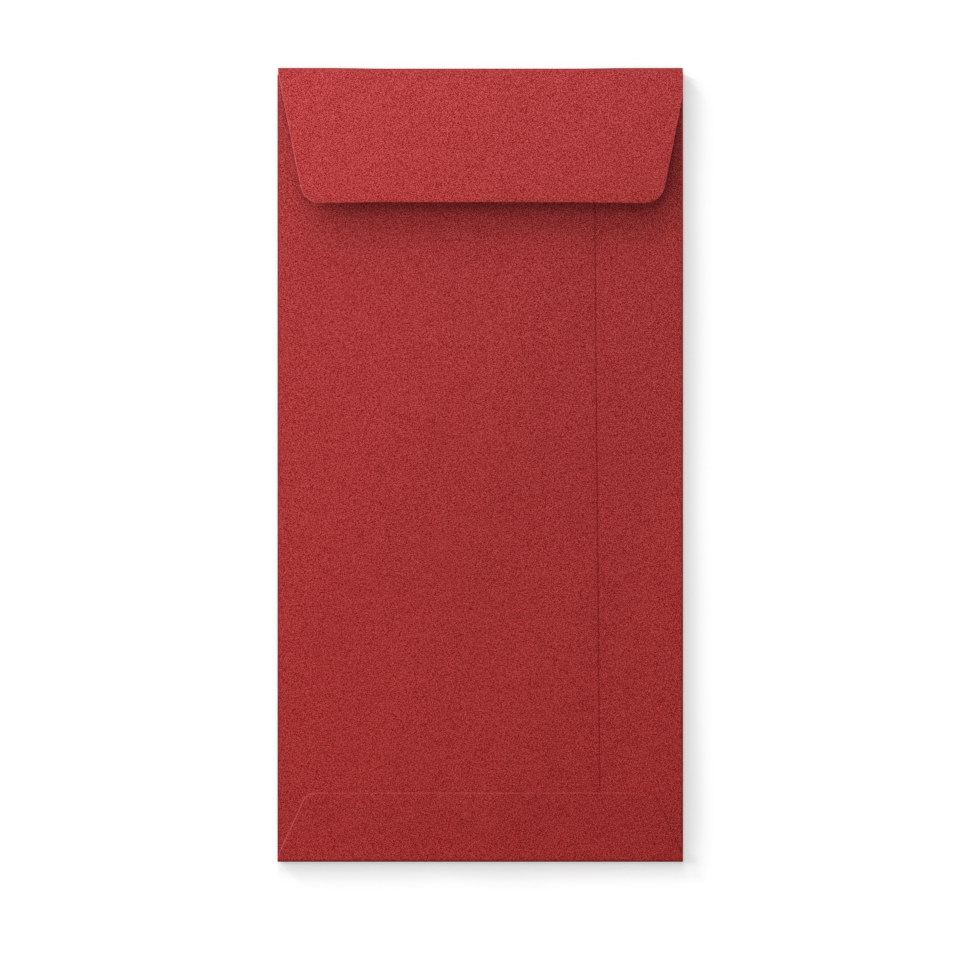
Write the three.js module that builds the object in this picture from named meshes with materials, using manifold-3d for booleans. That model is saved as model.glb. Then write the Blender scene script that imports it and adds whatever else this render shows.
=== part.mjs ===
// Pocket envelope with its mouth and closure flap on a short side, folded from one die-cut
// sheet of paper. It lies on its address side with the back up and the flap springing open.
//
// Millimetres. X runs across the envelope, Y along it towards the closure flap and Z up from
// the table. The origin is on the table, under the middle of the envelope.

import * as THREE from 'three';
import { mergeVertices } from 'three/addons/utils/BufferGeometryUtils.js';
import Module from 'manifold-3d';

const wasm = await Module();
wasm.setup();

// Size of the folded envelope, over its folds
const envelopeWidth = 120;
const envelopeLength = 235;

// Paper, adhesive films, and the room left between the sheets
const paperThickness = 0.22;
const pocketGap = 1;
const glueThickness = 0.05;
const gumThickness = 0.05;
const gumClearance = 0.02;
const closingClearance = 0.08;

// Back panels: the wide left one lies over the narrow right one, and its free edge is the seam
const seamInsetAtMouth = 26.4;
const seamInsetAtBase = 24.4;
const seamOverlap = 13.6;
const throatDepth = 3;
const baseClearance = 0.3;
const panelCornerRadius = 2;

// Glue line in the overlap of the back panels
const seamGlueInset = 2.5;
const seamGlueEndInset = 6;

// Bottom flap, glued over the back, and its glue band
const bottomFlapHeight = 20.5;
const bottomFlapShoulder = 1.6;
const bottomFlapSlant = THREE.MathUtils.degToRad(24.5);
const bottomFlapCornerRadius = 4;
const bottomGlueInset = 3;
const bottomGlueDepth = 12;
const bottomGlueStepClearance = 0.1;

// Closure flap: its depth counts from the outside of the crease, and it is cut a little to the right
const flapDepth = 40;
const flapLeftInset = 0.1;
const flapLeftShoulder = 2.1;
const flapRightShoulder = 7.65;
const flapSlant = THREE.MathUtils.degToRad(11.3);
const flapCornerRadius = 6;
const flapLift = THREE.MathUtils.degToRad(5.5);
const flapBow = THREE.MathUtils.degToRad(3);
const creaseClearance = 0.1;

// Gum band on the inside of the closure flap
const gumInset = 2.5;
const gumBandDepth = 10;

// Fineness of the curves
const foldSegments = 8;
const cornerSegments = 5;
const bowSegments = 6;

// Undersides of the sheets, stacked up from the front panel on the table
const rightPanelZ = paperThickness + pocketGap;
const seamGlueZ = rightPanelZ + paperThickness;
const leftPanelZ = seamGlueZ + glueThickness;
const bottomGlueZ = leftPanelZ + paperThickness;
const bottomFlapZ = bottomGlueZ + glueThickness;
const closedFlapZ = leftPanelZ + paperThickness + closingClearance + gumThickness + gumClearance;

// Outer radius of each fold: half the height of what it wraps
const leftFoldRadius = (leftPanelZ + paperThickness) / 2;
const rightFoldRadius = (rightPanelZ + paperThickness) / 2;
const bottomFoldRadius = (bottomFlapZ + paperThickness) / 2;
const creaseRadius = (closedFlapZ + paperThickness) / 2;

// Outline of the envelope, and where the flat panels begin inside its folds
const leftEdge = -envelopeWidth / 2;
const rightEdge = envelopeWidth / 2;
const baseEdge = -envelopeLength / 2;
const creaseEdge = envelopeLength / 2;
const leftFoldX = leftEdge + leftFoldRadius;
const rightFoldX = rightEdge - rightFoldRadius;
const bottomFoldY = baseEdge + bottomFoldRadius;
const creaseY = creaseEdge - creaseRadius;
const panelBaseY = bottomFoldY + baseClearance;
const panelTopY = creaseEdge - throatDepth;
const hiddenEdgeX = rightEdge - seamInsetAtMouth - seamOverlap;
const flapRootLeft = leftEdge + flapLeftInset;
const flapRootRight = rightEdge;

// The closure flap leaves the crease flapBow steeper than its chord and arches down to its tip
const flapBowRadius = (flapDepth - creaseRadius) / (2 * flapBow);

function paperMaterial() {
  return new THREE.MeshStandardMaterial({ color: 0xa43638, roughness: 0.9, metalness: 0 });
}

function glueMaterial() {
  return new THREE.MeshStandardMaterial({ color: 0xd9cfc0, roughness: 0.45, metalness: 0 });
}

function gumMaterial() {
  return new THREE.MeshStandardMaterial({ color: 0xa04a3c, roughness: 0.3, metalness: 0 });
}

// Rounds the corner that leads from the last corner to the next, turning anticlockwise.
function addRoundedCorner(outline, last, corner, next, radius) {
  const back = last.clone().sub(corner).normalize();
  const on = next.clone().sub(corner).normalize();
  const halfAngle = Math.acos(back.dot(on)) / 2;
  const reach = radius / Math.tan(halfAngle);
  const arcStart = back.clone().multiplyScalar(reach).add(corner);
  const arcEnd = on.clone().multiplyScalar(reach).add(corner);
  const centre = back.clone().add(on).setLength(radius / Math.sin(halfAngle)).add(corner);
  const startAngle = arcStart.clone().sub(centre).angle();
  const endAngle = arcEnd.clone().sub(centre).angle();
  outline.lineTo(arcStart.x, arcStart.y);
  outline.absarc(centre.x, centre.y, radius, startAngle, endAngle, false);
}

// A closed outline through corners given anticlockwise, as [x, y] or [x, y, radius of the corner].
// The first corner is a sharp one.
function outlineThrough(corners) {
  const points = corners.map(([x, y]) => new THREE.Vector2(x, y));
  const outline = new THREE.Shape();
  outline.moveTo(points[0].x, points[0].y);
  for (let i = 1; i < corners.length; i += 1) {
    const radius = corners[i][2] ?? 0;
    const next = points[(i + 1) % points.length];
    if (radius > 0) addRoundedCorner(outline, points[i - 1], points[i], next, radius);
    else outline.lineTo(points[i].x, points[i].y);
  }
  outline.closePath();
  return outline;
}

// A flat sheet of the given outline, with its underside at height z.
function makeSheet(name, corners, z, thickness, material) {
  const geometry = new THREE.ExtrudeGeometry(outlineThrough(corners), {
    depth: thickness,
    bevelEnabled: false,
    curveSegments: cornerSegments,
  });
  const sheet = new THREE.Mesh(geometry, material);
  sheet.name = name;
  sheet.position.z = z;
  return sheet;
}

// A strip of paper bent through sweep radians round a level axis. It starts level on the table,
// bulges in the plan direction heading, and runs along the axis for run from the point (x, y).
function makeFold(name, radius, sweep, x, y, run, heading) {
  const start = -Math.PI / 2;
  const section = new THREE.Shape();
  section.absarc(0, 0, radius, start, start + sweep, false);
  section.absarc(0, 0, radius - paperThickness, start + sweep, start, true);
  section.closePath();
  const geometry = new THREE.ExtrudeGeometry(section, {
    depth: run,
    bevelEnabled: false,
    curveSegments: foldSegments,
  });
  geometry.rotateX(Math.PI / 2);
  geometry.rotateZ(heading);
  const fold = new THREE.Mesh(geometry, paperMaterial());
  fold.name = name;
  fold.position.set(x, y, radius);
  return fold;
}

// X of the left back panel's free edge, which runs slightly out of square along the seam.
function seamX(y) {
  const alongPanel = (y - panelBaseY) / (panelTopY - panelBaseY);
  return rightEdge - THREE.MathUtils.lerp(seamInsetAtBase, seamInsetAtMouth, alongPanel);
}

// The front panel reaches the envelope's full width where it runs on into the bottom fold and
// the crease, and stops at the side folds between them.
function makeFrontPanel() {
  const corners = [
    [leftEdge, bottomFoldY],
    [rightEdge, bottomFoldY],
    [rightEdge, panelBaseY],
    [rightFoldX, panelBaseY],
    [rightFoldX, panelTopY],
    [flapRootRight, panelTopY],
    [flapRootRight, creaseY],
    [flapRootLeft, creaseY],
    [flapRootLeft, panelTopY],
    [leftFoldX, panelTopY],
    [leftFoldX, panelBaseY],
    [leftEdge, panelBaseY],
  ];
  return makeSheet('front_panel', corners, 0, paperThickness, paperMaterial());
}

function makeSideFolds() {
  const run = panelTopY - panelBaseY;
  const halfTurn = Math.PI;
  return [
    makeFold('left_side_fold', leftFoldRadius, halfTurn, leftFoldX, panelBaseY, run, Math.PI),
    makeFold('right_side_fold', rightFoldRadius, halfTurn, rightFoldX, panelTopY, run, 0),
  ];
}

function makeLeftBackPanel() {
  const corners = [
    [leftFoldX, panelBaseY],
    [seamX(panelBaseY), panelBaseY],
    [seamX(panelTopY), panelTopY, panelCornerRadius],
    [leftFoldX, panelTopY],
  ];
  return makeSheet('left_back_panel', corners, leftPanelZ, paperThickness, paperMaterial());
}

function makeRightBackPanel() {
  const corners = [
    [rightFoldX, panelTopY],
    [hiddenEdgeX, panelTopY, panelCornerRadius],
    [hiddenEdgeX, panelBaseY],
    [rightFoldX, panelBaseY],
  ];
  return makeSheet('right_back_panel', corners, rightPanelZ, paperThickness, paperMaterial());
}

// The glue keeps an even inset from the two sheets' edges, so it widens with their overlap.
function makeSeamGlue() {
  const low = panelBaseY + seamGlueEndInset;
  const high = panelTopY - seamGlueEndInset;
  const corners = [
    [hiddenEdgeX + seamGlueInset, low],
    [seamX(low) - seamGlueInset, low],
    [seamX(high) - seamGlueInset, high],
    [hiddenEdgeX + seamGlueInset, high],
  ];
  return makeSheet('seam_glue', corners, seamGlueZ, glueThickness, glueMaterial());
}

function makeBottomFold() {
  const towardsBase = -Math.PI / 2;
  return makeFold(
    'bottom_fold', bottomFoldRadius, Math.PI, rightEdge, bottomFoldY, envelopeWidth, towardsBase,
  );
}

function bottomFlapHalfWidth(height) {
  return envelopeWidth / 2 - (height - bottomFlapShoulder) * Math.tan(bottomFlapSlant);
}

function makeBottomFlap() {
  const shoulderY = baseEdge + bottomFlapShoulder;
  const freeY = baseEdge + bottomFlapHeight;
  const freeHalf = bottomFlapHalfWidth(bottomFlapHeight);
  const corners = [
    [leftEdge, bottomFoldY],
    [rightEdge, bottomFoldY],
    [rightEdge, shoulderY],
    [freeHalf, freeY, bottomFlapCornerRadius],
    [-freeHalf, freeY, bottomFlapCornerRadius],
    [leftEdge, shoulderY],
  ];
  return makeSheet('bottom_flap', corners, bottomFlapZ, paperThickness, paperMaterial());
}

// The band under the bottom flap is thin over the left panel and steps down past the seam,
// where it reaches the lower right panel.
function makeBottomFlapGlue() {
  const highY = baseEdge + bottomFlapHeight - bottomGlueInset;
  const lowY = highY - bottomGlueDepth;
  const half = bottomFlapHalfWidth(bottomFlapHeight) - bottomGlueInset;
  const stepX = Math.max(seamX(lowY), seamX(highY)) + bottomGlueStepClearance;
  const section = outlineThrough([
    [-half, bottomGlueZ],
    [stepX, bottomGlueZ],
    [stepX, seamGlueZ],
    [half, seamGlueZ],
    [half, bottomFlapZ],
    [-half, bottomFlapZ],
  ]);
  const geometry = new THREE.ExtrudeGeometry(section, { depth: bottomGlueDepth, bevelEnabled: false });
  geometry.rotateX(Math.PI / 2);
  const glue = new THREE.Mesh(geometry, glueMaterial());
  glue.name = 'bottom_flap_glue';
  glue.position.y = highY;
  return glue;
}

function solidFrom(geometry) {
  const bare = new THREE.BufferGeometry();
  bare.setAttribute('position', geometry.getAttribute('position'));
  const merged = mergeVertices(bare);
  const vertProperties = merged.getAttribute('position').array;
  const triVerts = Uint32Array.from(merged.index.array);
  return new wasm.Manifold(new wasm.Mesh({ numProp: 3, vertProperties, triVerts }));
}

function geometryFrom(solid) {
  const { vertProperties, triVerts } = solid.getMesh();
  const geometry = new THREE.BufferGeometry();
  geometry.setAttribute('position', new THREE.BufferAttribute(vertProperties, 3));
  geometry.setIndex(new THREE.BufferAttribute(triVerts, 1));
  return geometry;
}

// The crease turns the sheet from the front panel up into the lifted closure flap.
function makeTopFold() {
  const run = flapRootRight - flapRootLeft;
  const sweep = Math.PI - flapLift - flapBow;
  const towardsMouth = Math.PI / 2;
  return makeFold('top_fold', creaseRadius, sweep, flapRootLeft, creaseY, run, towardsMouth);
}

function flapLeftX(depth) {
  return flapRootLeft + (depth - flapLeftShoulder) * Math.tan(flapSlant);
}

function flapRightX(depth) {
  return flapRootRight - (depth - flapRightShoulder) * Math.tan(flapSlant);
}

// In the flap's own group Y falls from 0 over the crease axis as the depth on the flap grows.
function flapY(depth) {
  return creaseRadius - depth;
}

// A sheet in the flap's own group, with the given outline in plan and the flap's arch in section.
// Its upper side lies setback under the outside of the flap.
function makeArchedSheet(name, corners, setback, thickness, material) {
  const outer = flapBowRadius - setback;
  const section = new THREE.Shape();
  const rootAngle = Math.PI / 2 - flapBow;
  const tipAngle = Math.PI / 2 + flapBow;
  section.absarc(0, 0, outer, rootAngle, tipAngle, false);
  section.absarc(0, 0, outer - thickness, tipAngle, rootAngle, true);
  section.closePath();
  const arch = new THREE.ExtrudeGeometry(section, {
    depth: envelopeWidth,
    bevelEnabled: false,
    curveSegments: bowSegments,
  });
  const archDrop = flapBowRadius - creaseRadius;
  arch.rotateX(Math.PI / 2);
  arch.rotateZ(Math.PI / 2);
  arch.translate(leftEdge, -archDrop * Math.sin(flapBow), -archDrop * Math.cos(flapBow));
  const plan = new THREE.ExtrudeGeometry(outlineThrough(corners), {
    depth: flapDepth,
    bevelEnabled: false,
    curveSegments: cornerSegments,
  });
  const sheet = new THREE.Mesh(geometryFrom(solidFrom(arch).intersect(solidFrom(plan))), material);
  sheet.name = name;
  return sheet;
}

function makeClosureFlap() {
  const corners = [
    [flapRootLeft, -creaseClearance],
    [flapRootLeft, flapY(flapLeftShoulder)],
    [flapLeftX(flapDepth), flapY(flapDepth), flapCornerRadius],
    [flapRightX(flapDepth), flapY(flapDepth), flapCornerRadius],
    [flapRootRight, flapY(flapRightShoulder)],
    [flapRootRight, -creaseClearance],
  ];
  return makeArchedSheet('closure_flap', corners, 0, paperThickness, paperMaterial());
}

function makeClosureGum() {
  const outer = flapDepth - gumInset;
  const inner = outer - gumBandDepth;
  const corners = [
    [flapLeftX(inner) + gumInset, flapY(inner)],
    [flapLeftX(outer) + gumInset, flapY(outer), flapCornerRadius - gumInset],
    [flapRightX(outer) - gumInset, flapY(outer), flapCornerRadius - gumInset],
    [flapRightX(inner) - gumInset, flapY(inner)],
  ];
  const setback = paperThickness + gumClearance;
  return makeArchedSheet('closure_gum', corners, setback, gumThickness, gumMaterial());
}

// The closure flap turns about the axis of the crease, and rests a little open.
function makeFlapGroup() {
  const flap = new THREE.Group();
  flap.position.set(0, creaseY, creaseRadius);
  flap.rotation.x = -flapLift;
  flap.add(makeClosureFlap(), makeClosureGum());
  return flap;
}

const envelope = new THREE.Group();
envelope.add(
  makeFrontPanel(),
  ...makeSideFolds(),
  makeRightBackPanel(),
  makeSeamGlue(),
  makeLeftBackPanel(),
  makeBottomFold(),
  makeBottomFlapGlue(),
  makeBottomFlap(),
  makeTopFold(),
  makeFlapGroup(),
);

export default envelope;
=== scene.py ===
# Looks of the pocket envelope: every sheet of paper, fold and film of adhesive is modelled again
# over its plain solid, with rolled cut edges, slow waves in the sheets and a fibrous paper.
#
# The sheets are drawn in millimetres and become metres when a mesh is made. X runs across the
# envelope, Y along it towards the closure flap and Z up from the table. Values in capitals are
# tables and colours.

import math

import bmesh
import bpy
import numpy as np
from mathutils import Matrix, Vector
from mathutils.geometry import delaunay_2d_cdt


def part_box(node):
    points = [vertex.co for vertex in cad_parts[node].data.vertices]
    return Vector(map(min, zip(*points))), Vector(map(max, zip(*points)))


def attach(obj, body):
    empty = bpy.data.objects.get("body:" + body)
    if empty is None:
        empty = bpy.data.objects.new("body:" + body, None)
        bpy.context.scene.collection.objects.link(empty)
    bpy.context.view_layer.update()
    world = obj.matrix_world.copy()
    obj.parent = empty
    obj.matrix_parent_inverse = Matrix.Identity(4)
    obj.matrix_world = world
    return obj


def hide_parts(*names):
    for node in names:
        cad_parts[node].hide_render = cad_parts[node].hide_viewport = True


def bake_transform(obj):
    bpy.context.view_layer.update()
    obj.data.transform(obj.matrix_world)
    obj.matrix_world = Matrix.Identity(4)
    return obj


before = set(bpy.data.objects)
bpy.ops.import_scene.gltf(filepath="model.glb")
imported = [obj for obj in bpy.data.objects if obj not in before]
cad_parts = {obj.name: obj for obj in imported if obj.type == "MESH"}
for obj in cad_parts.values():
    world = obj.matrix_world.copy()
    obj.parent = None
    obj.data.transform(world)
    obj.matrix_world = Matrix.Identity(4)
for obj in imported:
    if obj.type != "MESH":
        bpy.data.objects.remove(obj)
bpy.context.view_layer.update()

MM = 0.001

# How far the folds stand out over the edges of the plain solids, and the mouth lies over theirs
side_swell = 0.085
base_swell = 0.035
mouth_rise = 1.2


def box_mm(node):
    """Lowest and highest corner of a solid of the frame, in millimetres."""
    low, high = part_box(node)
    return low / MM, high / MM


# Places and heights that the frame gives
front_low, front_high = box_mm("front_panel")
left_fold_low, left_fold_high = box_mm("left_side_fold")
right_fold_low, right_fold_high = box_mm("right_side_fold")
left_panel_low, left_panel_high = box_mm("left_back_panel")
right_panel_low, right_panel_high = box_mm("right_back_panel")
seam_glue_low, seam_glue_high = box_mm("seam_glue")
bottom_fold_low, bottom_fold_high = box_mm("bottom_fold")
bottom_flap_low, bottom_flap_high = box_mm("bottom_flap")
bottom_glue_low, bottom_glue_high = box_mm("bottom_flap_glue")
top_fold_low, top_fold_high = box_mm("top_fold")

paper = front_high.z
left_edge, right_edge = front_low.x - side_swell, front_high.x + side_swell
base_edge, crease_edge = bottom_fold_low.y - base_swell, top_fold_high.y
bottom_fold_y, crease_y = front_low.y, front_high.y
left_fold_x, right_fold_x = left_fold_high.x, right_fold_low.x
panel_base_y, panel_top_y = left_fold_low.y, left_fold_high.y + mouth_rise
flap_root_left, flap_root_right = top_fold_low.x, top_fold_high.x
bottom_fold_radius = bottom_fold_y - base_edge
crease_radius = crease_edge - crease_y

# Cut of the back panels. The seam leans to the left towards the mouth.
seam_lean = 2
seam_x_at_base = left_panel_high.x
seam_x_at_mouth = seam_x_at_base - seam_lean
hidden_edge_x = right_panel_low.x
panel_corner_radius = 2
seam_glue_inset = 2.5

# Cut of the bottom flap, and its glue band
bottom_flap_shoulder = 1.6
bottom_flap_slant = math.radians(24.5)
bottom_flap_corner_radius = 4
# The bottom flap's free edge shows its pale cut and painted highlight only left of this
bottom_flap_lit_cut_end = 44
bottom_shoulder_y = base_edge + bottom_flap_shoulder
glue_step_clearance = 0.2

# Cut of the closure flap. Its depth counts from the outside of the crease.
flap_depth = 40.13
flap_left_shoulder = 1.5
flap_right_shoulder = 8.45
flap_slant = math.radians(11.3)
flap_corner_radius = 6
flap_lift = math.radians(5.5)
flap_bow = math.radians(1.6)
flap_tip_rise = 0.18
flap_end_reach = 0.2
flap_end_start = 28
flap_end_full = 45
gum_inset = 2.5
gum_depth = 10
gum_clearance = 0.02
gum_thickness = 0.05

# The closure flap's free edge springs up in one slow wave and a ripple: height, half the length,
# and where the wave has its crest or what phase the ripple has
flap_wave = 0.3
flap_wave_half = 75
flap_wave_crest_x = -22
flap_ripple = 0.08
flap_ripple_half = 17
flap_ripple_phase = 1

# Flat strip that each fold keeps on both sides of its bend, so that it meets the panels level
fold_margin = 0.2
base_margin = panel_base_y - bottom_fold_y
fold_squareness = 2.5

# Spacing of the points of a mesh: on flat sheets, round a bend, round the corner of a cut, and
# across the step at the seam. The points inside an outline keep a share of their spacing from it.
sheet_spacing = 2.5
bend_spacing = 0.12
corner_spacing = 0.35
seam_grid_spacing = 0.4
grid_clearance = 0.4

# What is too small to count, and the angle from which an edge of a mesh is sharp
rounding = 1e-6
sharp_angle = math.radians(60)

# How far the pale colour and painted light of a cut reach in from it, and how strongly the outside of
# each fold is darkened with painted shade
cut_light_reach = 0.26
# Painted shade on the outside of each fold: strongest at the left fold and the crease, which face the
# lamps and would catch a highlight, faint at the right fold and the base
left_fold_shade = 1
right_fold_shade = 0.15
bottom_fold_shade = 0.3
top_fold_shade = 0.9

# How strongly a cut shows the paler inside of the paper with a painted highlight, where an ordinary
# one has 1: more where the cut faces the lamps, none where it lies in shade. Below 0 it gets painted
# shade.
lit_cut = 2
half_lit_cut = 0.3
shaded_cut = 0
# Painted shade in the seam's cut
seam_shade_cut = -1

# Section of a cut edge: how far inside the cut, and how high on the sheet as a share of it
CUT_EDGE = (
    (0.26, 1.0),
    (0.15, 0.97),
    (0.07, 0.9),
    (0.02, 0.76),
    (0.0, 0.5),
    (0.01, 0.24),
    (0.04, 0.07),
    (0.1, 0.0),
)

# The same for an edge that was pressed thin on the sheet under it when the glue was wet
PRESSED_EDGE = (
    (0.4, 1.0),
    (0.22, 0.96),
    (0.1, 0.9),
    (0.03, 0.83),
    (0.0, 0.74),
    (0.03, 0.62),
    (0.12, 0.52),
    (0.4, 0.35),
    (0.7, 0.15),
    (1.0, 0.0),
)

# Slow waves of the back: height, waves across the width and along the length, and phase
BACK_WAVES = (
    (0.07, 1.5, 2.5, 0.6),
    (0.05, -2.5, 4.0, 2.1),
    (0.03, 4.5, 6.5, 4.0),
    (0.02, 7.0, -9.0, 1.2),
)

# Broad bulges and dips of the back: height, middle across and along, and spread across and along
BACK_BULGES = (
    (0.38, -10, 9, 26, 35),
    (-0.38, 5, -49, 37, 30),
    (-0.38, 29, -14, 13, 29),
    (-0.38, 45, -45, 12, 42),
    (-0.38, 51, -3, 12, 20),
)

# The back is flat towards the mouth, and comes down to the seam's cut edge, and to the base
mouth_flat_start = 84
mouth_flat_end = 106
seam_rise = 0.06
seam_rise_middle = 0.10
seam_rise_middle_y = -10
seam_rise_spread = 45
seam_rise_reach = 3
base_sag = 0.4
base_sag_start = -92

# The right back panel comes up where the seam's cut edge is thin, more under the bottom flap, and
# once more along the slanted edge of that flap
seam_spring = 0.17
seam_spring_start = -1.0
seam_spring_end = 0.6
base_spring = 0.1
base_spring_reach = 1.5
base_spring_start = -92
base_spring_end = -99
slant_spring = 0.2
slant_spring_reach = 0.6
slant_spring_fade = 9

# Colours of the paper: its grain from deep to pale, paler and pinker towards the crease as a painted
# sheen, its fibres, the pale cut with a painted highlight, and painted shade in the seam's cut and on
# a fold
PAPER_RED = (0.27, 0.007, 0.007)
PALE_RED = (0.545, 0.057, 0.057)
# Painted sheen: the pale grain towards the crease
PALE_RED_SHEENED = (0.545, 0.08, 0.085)
FIBRE_RED = (0.60, 0.12, 0.125)
# The cut's pale inside, with a painted highlight
CUT_PALE_LIT_RED = (0.63, 0.17, 0.17)
# Painted shade: a deep red for the seam's cut
SEAM_SHADE_RED = (0.38, 0.0, 0.0)
# Painted shade on the outside of a fold
FOLD_SHADE_RED = (0.06, 0.016, 0.018)

# Red paper: how many millimetres the features of its grain, clouds and felt are across, how fine
# its fibres are, and how strongly each of these shows
grain_size = 0.24
grain_contrast = 6.5
grain_balance = 0.42
cloud_size = 7
cloud_contrast = 0.25
felt_size = 1.1
fibre_fineness = 55
fibre_height = 0.25
fibre_share = 0.2
paper_bump = 0.04
# How strongly the cut's pale colour and painted highlight show
cut_pale_light_share = 0.3
# How strongly the painted shade in the seam's cut shows
seam_shade_share = 0.7
# How strongly the painted shade on the folds shows
fold_shade_share = 0.92
paper_roughness = 0.75
paper_roughness_spread = 0.2
paper_gloss = 0.06

# Turns the noise, so that no sheet lies along its grid, where it would fade in patches
NOISE_TURN = (0.62, 0.47, 0.3)

# Adhesives: each has two shades, features of some millimetres across, and a roughness that varies
GLUE_SHADES = ((0.72, 0.66, 0.55), (0.86, 0.82, 0.74))
glue_streak_size = 2.2
glue_bump = 0.05
glue_roughness = 0.3
glue_roughness_spread = 0.25
GUM_SHADES = ((0.22, 0.022, 0.016), (0.34, 0.062, 0.04))
gum_pool_size = 3
gum_grain_size = 0.5
gum_bump = 0.06
gum_roughness = 0.4
gum_roughness_spread = 0.2

# The floor in metres, its grey, how white it looks to the camera in full shadow, and the light
# that comes from all around
floor_half = 4.0
floor_level = -0.02 * MM
floor_grey = 0.8
floor_own_light = 0.405
fill_light = 0.27

# Softboxes for the envelope: azimuth and elevation in degrees, distance, width and height in
# metres, and the share that each gives of a plain light level
SOFTBOXES = (
    ("top_softbox", 102, 12, 1.0, 1.2, 0.5, 0.275),
    ("upper_left_softbox", 150, 20, 0.55, 0.45, 0.22, 0.20),
    ("left_softbox", 200, 28, 0.55, 0.45, 0.22, 0.145),
    ("overhead_softbox", 90, 55, 1.5, 0.7, 0.7, 0.11),
)

# Lamps for the floor: azimuth, elevation and apparent size in degrees, the share that each gives
# of the floor's light, and whether the closure flap casts a shadow in it
FLOOR_LAMPS = (
    ("base_shadow_lamp", 95, 17, 27, 0.12, True),
    ("side_shadow_lamp", 169, 24, 28, 0.10, False),
    ("low_corner_lamp", 136, 9.5, 7, 0.085, False),
    ("low_side_lamp", 161, 12.5, 20, 0.09, False),
)
floor_lamp_distance = 2.0

# Camera in metres: straight above its aim, with that width of the table in its frame
camera_height = 2.4
frame_width = 0.28453
sensor_width = 36
CAMERA_AIM = (-0.00008, -0.00439)


def smoothstep(low, high, value):
    """A smooth change from 0 at low to 1 at high."""
    share = np.clip((value - low) / (high - low), 0, 1)
    return share * share * (3 - 2 * share)


def seam_x(y):
    """Where the left back panel's free edge runs, slightly out of square."""
    along = (y - panel_base_y) / (panel_top_y - panel_base_y)
    return seam_x_at_base + (seam_x_at_mouth - seam_x_at_base) * along


def back_rise(x, y):
    """How far the back lies over its nominal height. It is level across both side folds."""
    across = np.sin(np.pi * x / (right_edge - left_edge))
    along = (y - base_edge) / (crease_edge - base_edge)
    rise = np.zeros(np.broadcast(x, y).shape)
    for height, waves_across, waves_along, phase in BACK_WAVES:
        rise = rise + height * np.sin(np.pi * (waves_across * across + waves_along * along) + phase)
    for height, middle_x, middle_y, spread_x, spread_y in BACK_BULGES:
        distance = ((x - middle_x) / spread_x) ** 2 + ((y - middle_y) / spread_y) ** 2
        rise = rise + height * np.exp(-distance)
    rise = rise * (1 - smoothstep(mouth_flat_start, mouth_flat_end, y))
    spread = ((y - seam_rise_middle_y) / seam_rise_spread) ** 2
    crest = seam_rise + seam_rise_middle * np.exp(-spread)
    before_seam = np.maximum(seam_x(y) - x, 0)
    rise = rise + crest * (1 - np.exp(-before_seam / seam_rise_reach))
    return rise - base_sag * smoothstep(base_sag_start, bottom_fold_y, y)


def spring_rise(x, y):
    """How far the right back panel comes up towards the left one's level beyond the seam."""
    past_seam = x - seam_x(y)
    at_base = smoothstep(base_spring_start, base_spring_end, y)
    spring = seam_spring * smoothstep(seam_spring_start, seam_spring_end, past_seam)
    spring = spring + base_spring * at_base * smoothstep(0, base_spring_reach, past_seam)
    past_slant = (x - right_edge) * math.cos(bottom_flap_slant)
    past_slant = past_slant + (y - bottom_shoulder_y) * math.sin(bottom_flap_slant)
    beside = smoothstep(0, slant_spring_reach, past_slant)
    beside = beside * (1 - smoothstep(slant_spring_reach, slant_spring_fade, past_slant))
    free_y = bottom_flap_high.y
    beside = beside * (1 - smoothstep(free_y - slant_spring_fade / 2, free_y + slant_spring_fade, y))
    return spring + slant_spring * beside


def corner(x, y, radius=0, joined=False, cut_pale_light=1.0):
    """A corner of an outline. The edge from it to the next one is a cut, or joined to a neighbour.

    cut_pale_light is how strongly that cut shows the pale inside of the paper with a painted
    highlight.
    Where it is below 0, the cut gets painted shade in a deeper red.
    """
    return Vector((x, y)), radius, joined, cut_pale_light


def rounded(last, point, following, radius):
    """Points of the arc that rounds one corner of an outline."""
    back = (last - point).normalized()
    on = (following - point).normalized()
    half = back.angle(on) / 2
    centre = point + (back + on).normalized() * (radius / math.sin(half))
    start = point + back * (radius / math.tan(half)) - centre
    sweep = math.pi - 2 * half
    steps = max(3, math.ceil(sweep * radius / corner_spacing))
    return [
        centre + Vector((
            start.x * math.cos(sweep * i / steps) - start.y * math.sin(sweep * i / steps),
            start.x * math.sin(sweep * i / steps) + start.y * math.cos(sweep * i / steps),
        ))
        for i in range(steps + 1)
    ]


def trace(corners, spacing):
    """Points of an anticlockwise outline, and for each whether the edge after it is joined, and how
    much pale colour and painted light its cut gets.
    """
    turned = []
    for i, (point, radius, joined, cut_pale_light) in enumerate(corners):
        last = corners[i - 1][0]
        following = corners[(i + 1) % len(corners)][0]
        arc = rounded(last, point, following, radius) if radius else [point]
        turned += [(place, False, cut_pale_light) for place in arc[:-1]] + [(arc[-1], joined, cut_pale_light)]
    points = []
    joins = []
    cut_pale_lights = []
    for i, (start, joined, cut_pale_light) in enumerate(turned):
        run = turned[(i + 1) % len(turned)][0] - start
        lengths = max(abs(run.x) / spacing[0], abs(run.y) / spacing[1])
        steps = max(1, math.ceil(lengths - rounding))
        points += [start + run * (step / steps) for step in range(steps)]
        joins += [joined] * steps
        cut_pale_lights += [0.0 if joined else cut_pale_light] * steps
    return np.array([list(point) for point in points]), np.array(joins), np.array(cut_pale_lights)


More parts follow.
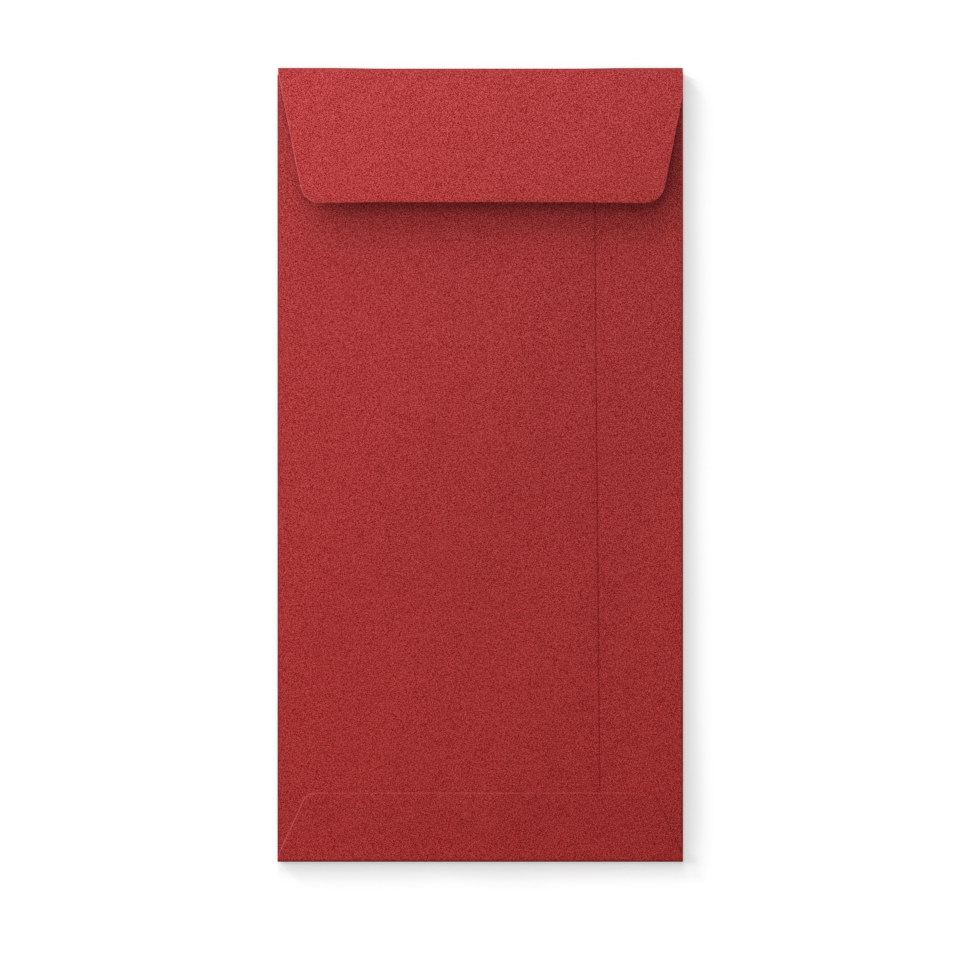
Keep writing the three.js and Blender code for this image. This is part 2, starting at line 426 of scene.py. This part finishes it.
def inset_outline(points, joined, distance):
    """The outline moved in from its cut edges. Its joined edges stay where they are."""
    run = np.roll(points, -1, axis=0) - points
    run /= np.linalg.norm(run, axis=1)[:, None]
    normal_on = np.stack([-run[:, 1], run[:, 0]], axis=1)
    normal_back = np.roll(normal_on, 1, axis=0)
    depth_on = np.where(joined, 0, distance)
    depth_back = np.roll(depth_on, 1)
    cross = normal_back[:, 0] * normal_on[:, 1] - normal_back[:, 1] * normal_on[:, 0]
    nearly_straight = 1e-4
    straight = np.abs(cross) < nearly_straight
    cross = np.where(straight, 1, cross)
    shift_x = (depth_back * normal_on[:, 1] - depth_on * normal_back[:, 1]) / cross
    shift_y = (depth_on * normal_back[:, 0] - depth_back * normal_on[:, 0]) / cross
    shift = np.stack([shift_x, shift_y], axis=1)
    shift[straight] = (normal_on * depth_on[:, None])[straight]
    return points + shift


def inner_points(outline, spacing):
    """A grid of points inside an outline, kept a little clear of it."""
    low = outline.min(axis=0)
    high = outline.max(axis=0)
    steps = [max(2, math.ceil((high[i] - low[i]) / spacing[i] - rounding)) for i in range(2)]
    grid_x, grid_y = np.meshgrid(
        np.linspace(low[0], high[0], steps[0] + 1)[1:-1],
        np.linspace(low[1], high[1], steps[1] + 1)[1:-1],
    )
    grid = np.stack([grid_x.ravel(), grid_y.ravel()], axis=1)
    scale = np.array(spacing, float)
    start = outline / scale
    end = np.roll(outline, -1, axis=0) / scale
    kept = []
    for point in grid:
        place = point / scale
        run = end - start
        share = np.clip(((place - start) * run).sum(1) / (run * run).sum(1), 0, 1)
        gap = np.linalg.norm(start + run * share[:, None] - place, axis=1).min()
        above = (start[:, 1] > place[1]) != (end[:, 1] > place[1])
        crossing = start[:, 0] + (place[1] - start[:, 1]) * run[:, 0] / np.where(above, run[:, 1], 1)
        inside = np.count_nonzero(above & (crossing > place[0])) % 2 == 1
        if inside and gap > grid_clearance:
            kept.append(point)
    return np.array(kept).reshape(-1, 2)


def fill(outline, spacing):
    """Triangles over an outline: its own points come first, and then the points inside it.

    They are found on a slightly bulged copy, where no points of a straight edge lie in line.
    """
    points = np.concatenate([outline, inner_points(outline, spacing)])
    low = outline.min(axis=0)
    high = outline.max(axis=0)
    bulge = 0.02
    place = (points * 2 - low - high) / (high - low)
    bulged = place * (1 - bulge * place[:, ::-1] ** 2) * (high - low) / np.array(spacing)
    ring = list(range(len(outline)))
    inside_only = 1
    places = [Vector(point) for point in bulged]
    filled = delaunay_2d_cdt(places, [], [ring], inside_only, rounding, False)
    return points, [corners for corners in filled[2] if inside_outline(corners, bulged, len(ring))]


def inside_outline(triangle, points, ring_size):
    """Whether a triangle fills the sheet: one that bridges a notch has its corners clockwise."""
    first, second, third = sorted(triangle)
    along = points[second] - points[first]
    across = points[third] - points[first]
    return third >= ring_size or along[0] * across[1] > along[1] * across[0]


def sheet_mesh(
    name, corners, place, thickness, spacing, crease=None, section=CUT_EDGE, edge_spacing=None,
):
    """A sheet of even thickness, as a closed mesh with rolled cut edges.

    place turns arrays of u, v and height over the sheet's inner face into points. crease gives how
    much painted shade each point gets on the outside of a fold.
    """
    outline, joined, cut_pale_light = trace(corners, edge_spacing or spacing)
    # Each edge's pale colour and painted light, or painted shade below 0
    edge_pale_light = (cut_pale_light + np.roll(cut_pale_light, 1)) / 2
    vertices = []
    faces = []
    cut_paleness_and_light = []
    flat = []
    rings = []
    for depth, height in section:
        ring = inset_outline(outline, joined, depth * thickness / paper)
        rings.append(len(vertices) + np.arange(len(ring)))
        flat += [(u, v) for u, v in ring]
        vertices += list(place(ring[:, 0], ring[:, 1], np.full(len(ring), height * thickness)))
        cut_paleness_and_light += list(edge_pale_light * max(0, 1 - depth / cut_light_reach))
    for upper, lower in zip(rings[:-1], rings[1:]):
        for i in range(len(upper)):
            j = (i + 1) % len(upper)
            faces.append((upper[i], lower[i], lower[j], upper[j]))
    for ring, height, turned in ((rings[0], 1, False), (rings[-1], 0, True)):
        ring_outline = np.array([flat[i] for i in ring])
        points, triangles = fill(ring_outline, spacing)
        inner = points[len(ring):]
        number = list(ring) + list(len(vertices) + np.arange(len(inner)))
        flat += [(u, v) for u, v in inner]
        vertices += list(place(inner[:, 0], inner[:, 1], np.full(len(inner), height * thickness)))
        cut_paleness_and_light += [0.0] * len(inner)
        for triangle in triangles:
            corners_of = [number[i] for i in triangle]
            faces.append(corners_of[::-1] if turned else corners_of)

    mesh = bpy.data.meshes.new(name)
    places = [Vector(point) * MM for point in vertices]
    mesh.from_pydata(places, [], [[int(number) for number in face] for face in faces])
    # The cut's pale colour and painted light or shade, fading in from the cut
    write_attribute(mesh, "cut_paleness_and_light", cut_paleness_and_light)
    # How much painted shade each point gets on the outside of a fold
    fold_shaded = [0.0] * len(flat) if crease is None else [crease(u, v) for u, v in flat]
    write_attribute(mesh, "fold_painted_shade", fold_shaded)
    tidy = bmesh.new()
    tidy.from_mesh(mesh)
    bmesh.ops.recalc_face_normals(tidy, faces=tidy.faces)
    tidy.to_mesh(mesh)
    tidy.free()
    mesh.shade_smooth()
    mesh.set_sharp_from_angle(angle=sharp_angle)
    return mesh


def write_attribute(mesh, name, values):
    """Keeps a value at each point of a mesh, for its material."""
    attribute = mesh.attributes.new(name, "FLOAT", "POINT")
    attribute.data.foreach_set("value", np.array(values, np.float32))


def bend(s, height, radius, top, sweep=math.pi, squareness=2):
    """Outward reach and height over the table of a sheet that leaves it level and bends back.

    s runs along the sheet from the start of its bend, and height counts from its inner face.
    The section is half an ellipse, and squareness over 2 presses it flatter against its outline.
    """
    turn = np.clip(s / radius, 0, sweep) - math.pi / 2
    half = top / 2
    out = np.abs(np.cos(turn))
    up = np.abs(np.sin(turn))
    side = np.sign(turn)
    normal_out = out ** (2 - 2 / squareness) / radius
    normal_up = side * up ** (2 - 2 / squareness) / half
    length = np.hypot(normal_out, normal_up)
    depth = (height - paper) / length
    before = np.minimum(s, 0)
    after = np.maximum(s - radius * sweep, 0)
    end = sweep - math.pi / 2
    reach = radius * out ** (2 / squareness) + depth * normal_out + before - math.sin(end) * after
    rise = half * (1 + side * up ** (2 / squareness)) + depth * normal_up + math.cos(end) * after
    return reach, rise


def fold_shade_at(radius, strength, sweep=math.pi):
    """How much painted shade the outside of a fold gets at s: most at the middle of the bend."""
    return lambda s: strength * math.sin(math.pi * min(max(s / (radius * sweep), 0), 1))


def on_back(underside, further_rise=None):
    """Where a level sheet of the back lies, with its underside at that nominal height."""
    def place(x, y, height):
        rise = back_rise(x, y)
        if further_rise:
            rise = rise + further_rise(x, y)
        return np.stack([x, y, underside + height + rise], axis=-1)
    return place


def add_piece(name, node, mesh, material, body):
    """Adds a mesh in place of a solid. Without a body, the piece is left to be blended."""
    mesh.materials.append(material)
    piece = bpy.data.objects.new(name, mesh)
    bpy.context.scene.collection.objects.link(piece)
    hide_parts(node)
    if body:
        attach(piece, body)
    return piece


def front_panel_mesh():
    def place(x, y, height):
        return np.stack([x, y, paper - height], axis=-1)

    corners = [
        corner(left_fold_x + fold_margin, panel_base_y, joined=True),
        corner(right_fold_x - fold_margin, panel_base_y, joined=True),
        corner(right_fold_x - fold_margin, panel_top_y),
        corner(flap_root_right, panel_top_y),
        corner(flap_root_right, crease_y - fold_margin, joined=True),
        corner(flap_root_left, crease_y - fold_margin),
        corner(flap_root_left, panel_top_y),
        corner(left_fold_x + fold_margin, panel_top_y, joined=True),
    ]
    return sheet_mesh("front_panel_sheet", corners, place, paper, (sheet_spacing, sheet_spacing))


def side_fold_mesh(name, fold_x, outward, top, shade_strength):
    """outward is -1 at the left and 1 at the right."""
    radius = abs((right_edge if outward > 0 else left_edge) - fold_x)
    length = radius * math.pi

    def place(s, y, height):
        lifted = top + back_rise(np.full_like(y, fold_x), y) + spring_rise(fold_x, y)
        reach, rise = bend(s, height, radius, lifted, squareness=fold_squareness)
        return np.stack([fold_x + outward * reach, y, rise], axis=-1)

    # Painted shade on the outside of the fold
    fold_shaded = fold_shade_at(radius, shade_strength)
    corners = [
        corner(-fold_margin, panel_base_y, joined=True),
        corner(length + fold_margin, panel_base_y, joined=True),
        corner(length + fold_margin, panel_top_y),
        corner(-fold_margin, panel_top_y, joined=True),
    ]
    spacing = (bend_spacing, sheet_spacing)
    return sheet_mesh(name, corners, place, paper, spacing, lambda s, y: fold_shaded(s))


def left_back_panel_mesh():
    corners = [
        corner(left_fold_x + fold_margin, panel_base_y),
        # The seam's cut gets painted shade
        corner(seam_x(panel_base_y), panel_base_y, cut_pale_light=seam_shade_cut),
        corner(seam_x(panel_top_y), panel_top_y, radius=panel_corner_radius),
        corner(left_fold_x + fold_margin, panel_top_y, joined=True),
    ]
    place = on_back(left_panel_low.z)
    spacing = (sheet_spacing, sheet_spacing)
    return sheet_mesh("left_back_sheet", corners, place, paper, spacing, section=PRESSED_EDGE)


def right_back_panel_mesh():
    corners = [
        corner(right_fold_x - fold_margin, panel_top_y),
        corner(hidden_edge_x, panel_top_y, radius=panel_corner_radius),
        corner(hidden_edge_x, panel_base_y),
        corner(right_fold_x - fold_margin, panel_base_y, joined=True),
    ]
    place = on_back(right_panel_low.z, spring_rise)
    return sheet_mesh(
        "right_back_sheet", corners, place, paper, (seam_grid_spacing, sheet_spacing / 2),
        section=PRESSED_EDGE, edge_spacing=(sheet_spacing, sheet_spacing),
    )


def seam_glue_mesh():
    thickness = seam_glue_high.z - seam_glue_low.z
    low, high = seam_glue_low.y, seam_glue_high.y
    corners = [
        corner(seam_glue_low.x, low),
        corner(seam_x(low) - seam_glue_inset, low),
        corner(seam_x(high) - seam_glue_inset, high),
        corner(seam_glue_low.x, high),
    ]
    spacing = (sheet_spacing, sheet_spacing)
    return sheet_mesh("seam_glue_film", corners, on_back(seam_glue_low.z), thickness, spacing)


def bottom_fold_mesh():
    length = bottom_fold_radius * math.pi

    def place(x, s, height):
        top = bottom_fold_high.z + back_rise(x, np.full_like(x, bottom_fold_y))
        reach, rise = bend(s, height, bottom_fold_radius, top, squareness=fold_squareness)
        return np.stack([x, bottom_fold_y - reach, rise], axis=-1)

    # Painted shade on the outside of the fold
    fold_shaded = fold_shade_at(bottom_fold_radius, bottom_fold_shade)
    corners = [
        corner(left_edge, -base_margin, joined=True),
        corner(right_edge, -base_margin),
        corner(right_edge, length + base_margin, joined=True),
        corner(left_edge, length + base_margin),
    ]
    spacing = (sheet_spacing, bend_spacing)
    return sheet_mesh("bottom_fold_strip", corners, place, paper, spacing, lambda x, s: fold_shaded(s))


def bottom_flap_mesh():
    free_y = bottom_flap_high.y
    free_half = right_edge - (free_y - bottom_shoulder_y) * math.tan(bottom_flap_slant)
    # Painted highlight on the cuts that face the lamps: the left slant and the free edge left of
    # bottom_flap_lit_cut_end. The right slant lies in shade.
    corners = [
        corner(left_edge, panel_base_y, joined=True),
        corner(right_edge, panel_base_y),
        corner(right_edge, bottom_shoulder_y, cut_pale_light=shaded_cut),
        corner(free_half, free_y, radius=bottom_flap_corner_radius, cut_pale_light=shaded_cut),
        corner(bottom_flap_lit_cut_end, free_y),
        corner(-free_half, free_y, radius=bottom_flap_corner_radius, cut_pale_light=lit_cut),
        corner(left_edge, bottom_shoulder_y),
    ]
    place = on_back(bottom_flap_low.z)
    spacing = (sheet_spacing, sheet_spacing)
    return sheet_mesh("bottom_flap_sheet", corners, place, paper, spacing, section=PRESSED_EDGE)


def bottom_glue_mesh():
    """The band lies on the left back panel, and past the seam's step on the right one."""
    thickness = bottom_glue_high.z - left_panel_high.z
    step = seam_x_at_base + glue_step_clearance

    def place(x, y, height):
        floor = np.where(x < step, left_panel_high.z, right_panel_high.z + spring_rise(x, y))
        z = floor + (bottom_glue_high.z - floor) * height / thickness
        return np.stack([x, y, z + back_rise(x, y)], axis=-1)

    corners = [
        corner(bottom_glue_low.x, bottom_glue_low.y),
        corner(bottom_glue_high.x, bottom_glue_low.y),
        corner(bottom_glue_high.x, bottom_glue_high.y),
        corner(bottom_glue_low.x, bottom_glue_high.y),
    ]
    spacing = (sheet_spacing, sheet_spacing)
    return sheet_mesh("bottom_flap_glue_film", corners, place, thickness, spacing)


def flap_place(setback, thickness):
    """The closure flap: s runs from the end of the crease's bend to the tip, over a slow arch."""
    arch_radius = (flap_depth - crease_radius) / (2 * flap_bow)
    drop = arch_radius - crease_radius

    def place(x, s, height):
        turn = math.pi / 2 - flap_bow + s / arch_radius
        radius = arch_radius - setback - thickness + height
        y = -drop * math.sin(flap_bow) + radius * np.cos(turn)
        z = -drop * math.cos(flap_bow) + radius * np.sin(turn) + flap_rise(x, s)
        outward = end_reach(x) * (1 - 2 * s / (flap_depth - crease_radius))
        return np.stack([
            x,
            crease_y + outward + y * math.cos(flap_lift) + z * math.sin(flap_lift),
            crease_radius - y * math.sin(flap_lift) + z * math.cos(flap_lift),
        ], axis=-1)

    return place


def end_reach(x):
    """The crease and the free edge of the closure flap lie further out at the ends of both."""
    return flap_end_reach * smoothstep(flap_end_start, flap_end_full, np.abs(x))


def flap_rise(x, s):
    """The free edge springs up a little more left of its middle than at its right."""
    along = s / (flap_depth - crease_radius)
    wave = flap_wave * np.cos(math.pi * (x - flap_wave_crest_x) / flap_wave_half)
    ripple = flap_ripple * np.sin(math.pi * x / flap_ripple_half + flap_ripple_phase)
    return along * along * (flap_tip_rise + wave + ripple)


def top_fold_mesh():
    sweep = math.pi - flap_lift - flap_bow
    length = crease_radius * sweep

    def place(x, s, height):
        reach, rise = bend(s, height, crease_radius, 2 * crease_radius, sweep)
        outward = end_reach(x) * smoothstep(0, length / 2, s)
        return np.stack([x, crease_y + reach + outward, rise], axis=-1)

    # Painted shade on the outside of the crease
    fold_shaded = fold_shade_at(crease_radius, top_fold_shade, sweep)
    corners = [
        corner(flap_root_left, -fold_margin, joined=True),
        corner(flap_root_right, -fold_margin),
        corner(flap_root_right, length + fold_margin, joined=True),
        corner(flap_root_left, length + fold_margin),
    ]
    spacing = (sheet_spacing, bend_spacing)
    return sheet_mesh("top_fold_strip", corners, place, paper, spacing, lambda x, s: fold_shaded(s))


def flap_left_x(depth):
    """Where the closure flap's left slant runs at that depth from the outside of the crease."""
    return flap_root_left + (depth - flap_left_shoulder) * math.tan(flap_slant)


def flap_right_x(depth):
    return flap_root_right - (depth - flap_right_shoulder) * math.tan(flap_slant)


def closure_flap_mesh():
    tip = flap_depth - crease_radius
    # Painted highlight on the left slant, which faces the lamps, a faint one on the right; the free
    # edge lies in shade
    corners = [
        corner(flap_root_left, fold_margin, joined=True),
        corner(flap_root_right, fold_margin, cut_pale_light=half_lit_cut),
        corner(flap_root_right, flap_right_shoulder - crease_radius, cut_pale_light=half_lit_cut),
        corner(flap_right_x(flap_depth), tip, radius=flap_corner_radius, cut_pale_light=shaded_cut),
        corner(flap_left_x(flap_depth), tip, radius=flap_corner_radius, cut_pale_light=lit_cut),
        corner(flap_root_left, flap_left_shoulder - crease_radius),
    ]
    spacing = (sheet_spacing, sheet_spacing)
    return sheet_mesh("closure_flap_sheet", corners, flap_place(0, paper), paper, spacing)


def closure_gum_mesh():
    outer = flap_depth - gum_inset
    inner = outer - gum_depth
    radius = flap_corner_radius - gum_inset
    corners = [
        corner(flap_left_x(inner) + gum_inset, inner - crease_radius),
        corner(flap_right_x(inner) - gum_inset, inner - crease_radius),
        corner(flap_right_x(outer) - gum_inset, outer - crease_radius, radius=radius),
        corner(flap_left_x(outer) + gum_inset, outer - crease_radius, radius=radius),
    ]
    place = flap_place(paper + gum_clearance, gum_thickness)
    spacing = (sheet_spacing, sheet_spacing)
    return sheet_mesh("closure_gum_film", corners, place, gum_thickness, spacing)


def add_node(tree, kind, inputs=None, **settings):
    """A shader node. An input's value may be a socket, which is then linked to it."""
    made = tree.nodes.new(kind)
    for name, value in settings.items():
        setattr(made, name, value)
    for key, value in (inputs or {}).items():
        if isinstance(value, bpy.types.NodeSocket):
            tree.links.new(value, made.inputs[key])
        else:
            made.inputs[key].default_value = value
    return made


def new_material(name):
    """A material with one shader, whose sockets are still at their defaults."""
    material = bpy.data.materials.new(name)
    material.use_nodes = True
    tree = material.node_tree
    tree.nodes.clear()
    shader = add_node(tree, "ShaderNodeBsdfPrincipled")
    output = add_node(tree, "ShaderNodeOutputMaterial")
    tree.links.new(shader.outputs["BSDF"], output.inputs["Surface"])
    return material, tree, shader


def noise(tree, coords, feature, detail, roughness, distortion=0.0):
    """Cloudy noise between 0 and 1 whose features are about that many metres across."""
    made = add_node(tree, "ShaderNodeTexNoise", {
        "Vector": coords,
        "Scale": 1 / feature,
        "Detail": detail,
        "Roughness": roughness,
        "Distortion": distortion,
    })
    return made.outputs["Fac"]


def calculate(tree, operation, first, second=0.5, third=0.5):
    """The result of a Math node. Each value may be a number or a socket."""
    made = add_node(tree, "ShaderNodeMath", {0: first, 1: second, 2: third}, operation=operation)
    return made.outputs["Value"]


def mix_colours(tree, share, first, second):
    """The first colour at a share of 0 and below, and the second at 1 and above."""
    made = add_node(tree, "ShaderNodeMix", {"Factor": share}, data_type="RGBA")
    # The colours have the sockets 6 and 7, and the mixed colour has output 2
    for key, value in ((6, first), (7, second)):
        if isinstance(value, bpy.types.NodeSocket):
            tree.links.new(value, made.inputs[key])
        else:
            made.inputs[key].default_value = (*value, 1)
    return made.outputs[2]


def red_paper():
    """Dyed paper with grain, fibres and clouds; a painted sheen towards the crease, a pale cut with
    painted highlight, painted shade in the seam's cut and on folds.
    """
    material, tree, shader = new_material("red_paper")
    place = add_node(tree, "ShaderNodeTexCoord").outputs["Object"]
    turned = add_node(tree, "ShaderNodeMapping", {"Vector": place, "Rotation": NOISE_TURN})
    coords = turned.outputs["Vector"]
    # The cut's pale colour with painted highlight, and below 0 painted shade
    cut = add_node(tree, "ShaderNodeAttribute", attribute_name="cut_paleness_and_light").outputs["Fac"]
    # Painted shade on the outside of the folds
    fold = add_node(tree, "ShaderNodeAttribute", attribute_name="fold_painted_shade").outputs["Fac"]

    grain = noise(tree, coords, grain_size * MM, 0.0, 0.5)
    felt = noise(tree, coords, felt_size * MM, 2.0, 0.5, 1.5)
    # Fibres run where the felt's noise crosses its middle
    off_line = calculate(tree, "ABSOLUTE", calculate(tree, "SUBTRACT", felt, 0.5))
    fibre = calculate(tree, "MULTIPLY", off_line, fibre_fineness)
    fibre = calculate(tree, "SUBTRACT", 1.0, fibre)
    fibre = calculate(tree, "MAXIMUM", fibre, 0.0)
    height = calculate(tree, "MULTIPLY_ADD", fibre, fibre_height, grain)
    bump = add_node(tree, "ShaderNodeBump", {
        "Strength": 1.0, "Distance": paper_bump * MM, "Height": height,
    })

    cloud = noise(tree, coords, cloud_size * MM, 3.0, 0.6)
    off_grain = calculate(tree, "SUBTRACT", grain, 0.5)
    mottle = calculate(tree, "MULTIPLY_ADD", off_grain, grain_contrast, grain_balance)
    off_cloud = calculate(tree, "SUBTRACT", cloud, 0.5)
    mottle = calculate(tree, "MULTIPLY_ADD", off_cloud, cloud_contrast, mottle)
    # Painted sheen: the pale grain turns paler and pinker from 0 at the base to 1 at the crease
    along = add_node(tree, "ShaderNodeSeparateXYZ", {"Vector": place}).outputs["Y"]
    sheen_share = calculate(tree, "MULTIPLY_ADD", along, 1 / (MM * (crease_edge - base_edge)), 0.5)
    pale = mix_colours(tree, sheen_share, PALE_RED, PALE_RED_SHEENED)
    colour = mix_colours(tree, mottle, PAPER_RED, pale)
    colour = mix_colours(tree, calculate(tree, "MULTIPLY", fibre, fibre_share), colour, FIBRE_RED)
    # Pale cut with painted highlight
    colour = mix_colours(tree, calculate(tree, "MULTIPLY", cut, cut_pale_light_share), colour, CUT_PALE_LIT_RED)
    # Painted shade in the seam's cut
    colour = mix_colours(tree, calculate(tree, "MULTIPLY", cut, -seam_shade_share), colour, SEAM_SHADE_RED)
    # Painted shade on the outside of the folds
    colour = mix_colours(tree, calculate(tree, "MULTIPLY", fold, fold_shade_share), colour, FOLD_SHADE_RED)

    tree.links.new(colour, shader.inputs["Base Color"])
    tree.links.new(bump.outputs["Normal"], shader.inputs["Normal"])
    rough = calculate(tree, "MULTIPLY_ADD", felt, paper_roughness_spread, paper_roughness)
    tree.links.new(rough, shader.inputs["Roughness"])
    shader.inputs["Specular IOR Level"].default_value = paper_gloss
    return material


def dried_glue():
    """Cloudy adhesive that dried in streaks."""
    material, tree, shader = new_material("dried_glue")
    coords = add_node(tree, "ShaderNodeTexCoord").outputs["Object"]
    streaks = noise(tree, coords, glue_streak_size * MM, 3.0, 0.6, 0.6)
    colour = mix_colours(tree, streaks, *GLUE_SHADES)
    tree.links.new(colour, shader.inputs["Base Color"])
    bump = add_node(tree, "ShaderNodeBump", {
        "Strength": 0.6, "Distance": glue_bump * MM, "Height": streaks,
    })
    tree.links.new(bump.outputs["Normal"], shader.inputs["Normal"])
    rough = calculate(tree, "MULTIPLY_ADD", streaks, glue_roughness_spread, glue_roughness)
    tree.links.new(rough, shader.inputs["Roughness"])
    return material


def gum():
    """Remoistening gum: a thin satin film that deepens the red of the paper under it."""
    material, tree, shader = new_material("gum")
    coords = add_node(tree, "ShaderNodeTexCoord").outputs["Object"]
    pools = noise(tree, coords, gum_pool_size * MM, 3.0, 0.55, 0.4)
    fine = noise(tree, coords, gum_grain_size * MM, 2.0, 0.6)
    colour = mix_colours(tree, pools, *GUM_SHADES)
    tree.links.new(colour, shader.inputs["Base Color"])
    height = calculate(tree, "MULTIPLY_ADD", fine, 0.25, pools)
    bump = add_node(tree, "ShaderNodeBump", {
        "Strength": 0.7, "Distance": gum_bump * MM, "Height": height,
    })
    tree.links.new(bump.outputs["Normal"], shader.inputs["Normal"])
    rough = calculate(tree, "MULTIPLY_ADD", fine, gum_roughness_spread, gum_roughness)
    tree.links.new(rough, shader.inputs["Roughness"])
    return material


def seen_directly(tree):
    """1 for what the camera sees, also in a reflection or through glass, and 0 for the light."""
    paths = add_node(tree, "ShaderNodeLightPath").outputs
    seen = calculate(tree, "MAXIMUM", paths["Is Camera Ray"], paths["Is Glossy Ray"])
    return calculate(tree, "MAXIMUM", seen, paths["Is Transmission Ray"])


def pale_floor():
    """Pale and plain for the light, and white with the object's shadow for the camera."""
    material = bpy.data.materials.new("floor")
    material.use_nodes = True
    tree = material.node_tree
    tree.nodes.clear()
    grey = (floor_grey, floor_grey, floor_grey, 1)
    plain = add_node(tree, "ShaderNodeBsdfDiffuse", {"Color": grey})
    glow = add_node(tree, "ShaderNodeEmission", {
        "Strength": calculate(tree, "MULTIPLY", seen_directly(tree), floor_own_light),
    })
    white = add_node(tree, "ShaderNodeAddShader", {0: plain.outputs[0], 1: glow.outputs[0]})
    output = add_node(tree, "ShaderNodeOutputMaterial")
    tree.links.new(white.outputs[0], output.inputs["Surface"])
    return material


def add_floor():
    mesh = bpy.data.meshes.new("floor")
    signs = ((-1, -1), (1, -1), (1, 1), (-1, 1))
    corners = [(x * floor_half, y * floor_half, floor_level) for x, y in signs]
    mesh.from_pydata(corners, [], [(0, 1, 2, 3)])
    mesh.materials.append(pale_floor())
    floor = bpy.data.objects.new("floor", mesh)
    bpy.context.scene.collection.objects.link(floor)
    return floor


def toward(azimuth, elevation):
    """A direction. Azimuth counts from +X towards +Y, both in degrees."""
    around = math.radians(azimuth)
    up = math.radians(elevation)
    return Vector((math.cos(up) * math.cos(around), math.cos(up) * math.sin(around), math.sin(up)))


def place_lamp(lamp, direction, distance, lit):
    """Puts a lamp there, turned to the origin, for the objects of that collection alone."""
    holder = bpy.data.objects.new(lamp.name, lamp)
    holder.location = direction * distance
    holder.rotation_euler = direction.to_track_quat("Z", "Y").to_euler()
    holder.light_linking.receiver_collection = lit
    bpy.context.scene.collection.objects.link(holder)
    return holder


def add_softbox(name, lit, azimuth, elevation, distance, width, height, share):
    """A soft lamp that gives that share of a plain light level at the middle of the envelope."""
    direction = toward(azimuth, elevation)
    lamp = bpy.data.lights.new(name, "AREA")
    lamp.shape = "RECTANGLE"
    lamp.size = width
    lamp.size_y = height
    lamp.energy = share * math.pi ** 2 * distance ** 2 / direction.z
    place_lamp(lamp, direction, distance, lit)


def add_floor_lamp(name, lit, azimuth, elevation, angle, share):
    """A distant soft lamp, for the shadow on the floor beside the envelope."""
    direction = toward(azimuth, elevation)
    lamp = bpy.data.lights.new(name, "SUN")
    lamp.angle = math.radians(angle)
    lamp.energy = share * math.pi / (floor_grey * direction.z)
    return place_lamp(lamp, direction, floor_lamp_distance, lit)


def linked(name, objects, state):
    """A collection of objects that a lamp is told to reach, or to leave out."""
    group = bpy.data.collections.new(name)
    for place, item in enumerate(objects):
        group.objects.link(item)
        group.collection_objects[place].light_linking.link_state = state
    return group


def add_lights(floor, pocket):
    """The floor has lamps of its own, so that it stays white all over beside the shadow.

    In most of them only the pocket casts a shadow, because the flap's would be drawn out far over
    the floor.
    """
    floor_only = linked("lit_by_floor_lamps", [floor], "INCLUDE")
    not_floor = linked("lit_by_softboxes", [floor], "EXCLUDE")
    pocket_only = linked("in_the_way", pocket, "INCLUDE")
    for name, *figures in SOFTBOXES:
        add_softbox(name, not_floor, *figures)
    for name, azimuth, elevation, angle, share, flap_blocks in FLOOR_LAMPS:
        lamp = add_floor_lamp(name, floor_only, azimuth, elevation, angle, share)
        if not flap_blocks:
            lamp.light_linking.blocker_collection = pocket_only


def add_world():
    """White for the camera, and a soft fill light for everything else."""
    world = bpy.data.worlds.new("studio")
    world.use_nodes = True
    tree = world.node_tree
    background = tree.nodes["Background"]
    background.inputs["Color"].default_value = (1, 1, 1, 1)
    strength = calculate(tree, "MULTIPLY_ADD", seen_directly(tree), 1 - fill_light, fill_light)
    tree.links.new(strength, background.inputs["Strength"])
    bpy.context.scene.world = world


def add_camera():
    camera = bpy.data.cameras.new("camera")
    camera.sensor_width = sensor_width
    camera.lens = sensor_width * camera_height / frame_width
    holder = bpy.data.objects.new("camera", camera)
    holder.location = (*CAMERA_AIM, camera_height)
    bpy.context.scene.collection.objects.link(holder)
    bpy.context.scene.camera = holder


def add_envelope():
    """Adds every piece, and returns those of the pocket."""
    paper_finish = red_paper()
    glue_finish = dried_glue()
    gum_finish = gum()
    # Each side fold with the strength of its painted shade
    left_strip = ("left_fold_strip", left_fold_x, -1, left_fold_high.z, left_fold_shade)
    right_strip = ("right_fold_strip", right_fold_x, 1, right_fold_high.z, right_fold_shade)
    sheets = (
        ("front_panel", front_panel_mesh()),
        ("left_side_fold", side_fold_mesh(*left_strip)),
        ("right_side_fold", side_fold_mesh(*right_strip)),
        ("left_back_panel", left_back_panel_mesh()),
        ("right_back_panel", right_back_panel_mesh()),
        ("bottom_fold", bottom_fold_mesh()),
        ("bottom_flap", bottom_flap_mesh()),
    )
    pocket = [
        add_piece(mesh.name, node, mesh, paper_finish, "pocket")
        for node, mesh in sheets
    ]
    for node, mesh in (("seam_glue", seam_glue_mesh()), ("bottom_flap_glue", bottom_glue_mesh())):
        add_piece(mesh.name, node, mesh, glue_finish, "pocket")
    flap = closure_flap_mesh()
    add_piece(flap.name, "closure_flap", flap, paper_finish, "flap")
    film = closure_gum_mesh()
    add_piece(film.name, "closure_gum", film, gum_finish, "flap")
    strip = top_fold_mesh()
    crease = add_piece(strip.name, "top_fold", strip, paper_finish, None)
    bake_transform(crease)
    return pocket


bpy.context.scene.view_settings.view_transform = "Standard"
add_camera()
add_lights(add_floor(), add_envelope())
add_world()
